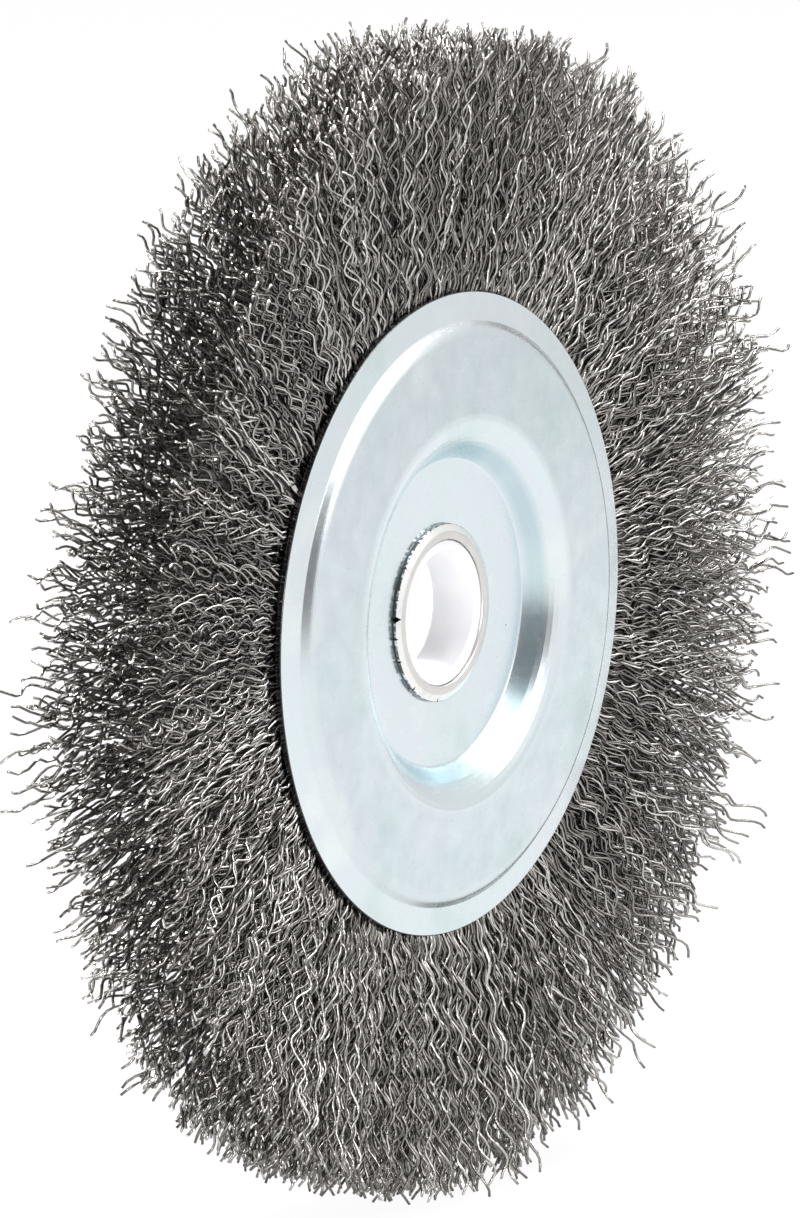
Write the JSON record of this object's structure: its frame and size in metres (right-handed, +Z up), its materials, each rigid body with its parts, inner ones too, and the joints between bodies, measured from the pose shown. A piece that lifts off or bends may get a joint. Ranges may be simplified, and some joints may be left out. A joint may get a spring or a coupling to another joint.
{
  "type": "wire wheel brush",
  "caption": "Narrow-face crimped wire wheel: pressed zinc-plated discs clamp a ring of crimped steel wire round a spun core tube with a plastic reducing bush for the arbor.",
  "frame": {"origin": "centre of the wheel on its axis, in the middle plane between the two discs", "axes": "+Y along the wheel's axis, away from the face that the picture shows; the wheel spins about +Y; +Z up as the picture shows it"},
  "size_m": [0.1519, 0.019, 0.1521],
  "materials": {
    "zinc_plate": "bright zinc plating with a faint blue tint",
    "bush_plastic": "moulded white plastic",
    "hoop_steel": "plain drawn wire",
    "brush_wire": "dark drawn steel wire with bright highlights"
  },
  "bodies": {
    "root": {"front_flange": "zinc_plate", "back_flange": "zinc_plate", "core_tube": "zinc_plate", "arbor_bush": "bush_plastic", "hoop_ring": "hoop_steel", "wire_fill": "brush_wire"}
  },
  "joints": []
}
